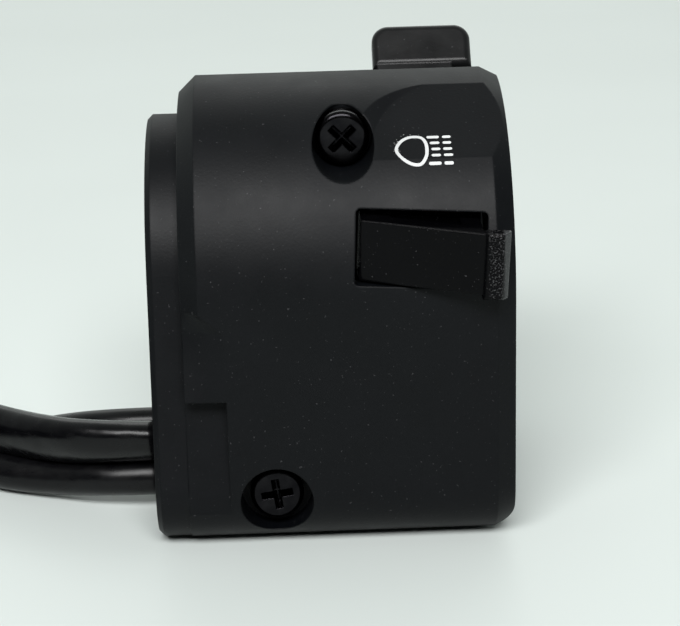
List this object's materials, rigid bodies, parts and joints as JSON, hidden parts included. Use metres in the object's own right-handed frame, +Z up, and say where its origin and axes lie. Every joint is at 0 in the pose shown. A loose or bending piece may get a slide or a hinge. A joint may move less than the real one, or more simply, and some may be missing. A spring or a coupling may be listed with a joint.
{
  "type": "handlebar switch cluster",
  "caption": "Black handlebar switch housing that clamps round a bar, with a passing-light trigger, dimmer rocker, turn-signal slider, horn button and cables.",
  "frame": {"origin": "on the handlebar's axis, at the middle of the housing's length", "axes": "+X along the handlebar towards the grip, +Y towards the rider, +Z up"},
  "size_m": [0.1852, 0.0991, 0.0673],
  "materials": {
    "housing_black": "satin moulded plastic",
    "screw_black": "black zinc",
    "brass": "knurled, machined",
    "contact_metal": "stamped",
    "trigger_black": "satin moulded plastic",
    "button_black": "satin moulded plastic",
    "horn_black": "satin moulded plastic",
    "inner_plastic": "plain moulded plastic",
    "small_steel": "zinc plated",
    "spring_steel": "drawn wire",
    "grommet_rubber": "moulded rubber",
    "lead_black": "extruded sleeve",
    "main_sleeve": "soft vinyl sleeve",
    "second_sleeve": "soft vinyl sleeve",
    "clutch_sleeve": "soft vinyl sleeve",
    "connector_nylon": "natural nylon",
    "tie_nylon": "black nylon"
  },
  "bodies": {
    "housing": {"front_case": "housing_black", "rear_case": "housing_black", "upper_clamp_screw": "screw_black", "lower_clamp_screw": "screw_black", "thread_inserts": "brass", "trigger_base": "inner_plastic", "trigger_pivot_pin": "small_steel", "trigger_fixed_contacts": "contact_metal", "trigger_base_screws": "small_steel", "dimmer_pivot_pin": "small_steel", "dimmer_base": "inner_plastic", "dimmer_fixed_contacts": "contact_metal", "turn_base": "inner_plastic", "turn_fixed_contacts": "contact_metal", "turn_base_screws": "small_steel", "horn_base": "inner_plastic", "horn_fixed_contacts": "contact_metal", "horn_base_screws": "small_steel", "cable_grommet": "grommet_rubber", "trigger_lead": "lead_black", "horn_lead": "lead_black", "turn_lead": "lead_black", "dimmer_lead": "lead_black", "main_lead": "main_sleeve", "main_coil": "main_sleeve", "main_connector": "connector_nylon", "second_lead": "second_sleeve", "second_coil": "second_sleeve", "second_connector": "connector_nylon", "clutch_lead": "clutch_sleeve", "clutch_connector": "connector_nylon", "coil_tie": "tie_nylon"},
    "trigger": {"trigger_lever": "trigger_black", "trigger_moving_contact": "contact_metal", "trigger_spring": "spring_steel"},
    "dimmer": {"dimmer_rocker": "button_black", "dimmer_contact_bridge": "contact_metal"},
    "turn_slider": {"turn_carriage": "inner_plastic", "turn_wiper": "contact_metal"},
    "turn_button": {"turn_knob": "button_black", "turn_cancel_spring": "spring_steel"},
    "horn": {"horn_button": "horn_black", "horn_moving_contact": "contact_metal", "horn_spring": "spring_steel"}
  },
  "joints": [
    {"name": "trigger_pull", "type": "hinge", "parent": "housing", "child": "trigger", "pos_m": [0.00601, -0.0198, 0.00826], "axis": [0.0558, 0, 0.9984], "range_deg": [0, 5], "stiffness_Nm_per_rad": 0.12, "springref_deg": -2.86, "deforming": ["trigger_spring"]},
    {"name": "dimmer_rock", "type": "hinge", "parent": "housing", "child": "dimmer", "pos_m": [0.0155, 0.017, 0.016], "axis": [1, 0, 0], "range_deg": [-14, 0]},
    {"name": "turn_slide", "type": "slide", "parent": "housing", "child": "turn_slider", "axis": [1, 0, 0], "range_m": [-0.0032, 0.0032]},
    {"name": "turn_cancel", "type": "slide", "parent": "turn_slider", "child": "turn_button", "axis": [0, -1, 0], "range_m": [0, 0.0015], "stiffness_N_per_m": 600, "springref_m": -0.0015, "deforming": ["turn_cancel_spring"]},
    {"name": "horn_push", "type": "slide", "parent": "housing", "child": "horn", "axis": [0, -1, 0], "range_m": [0, 0.0018], "stiffness_N_per_m": 700, "springref_m": -0.002, "deforming": ["horn_spring"]}
  ]
}
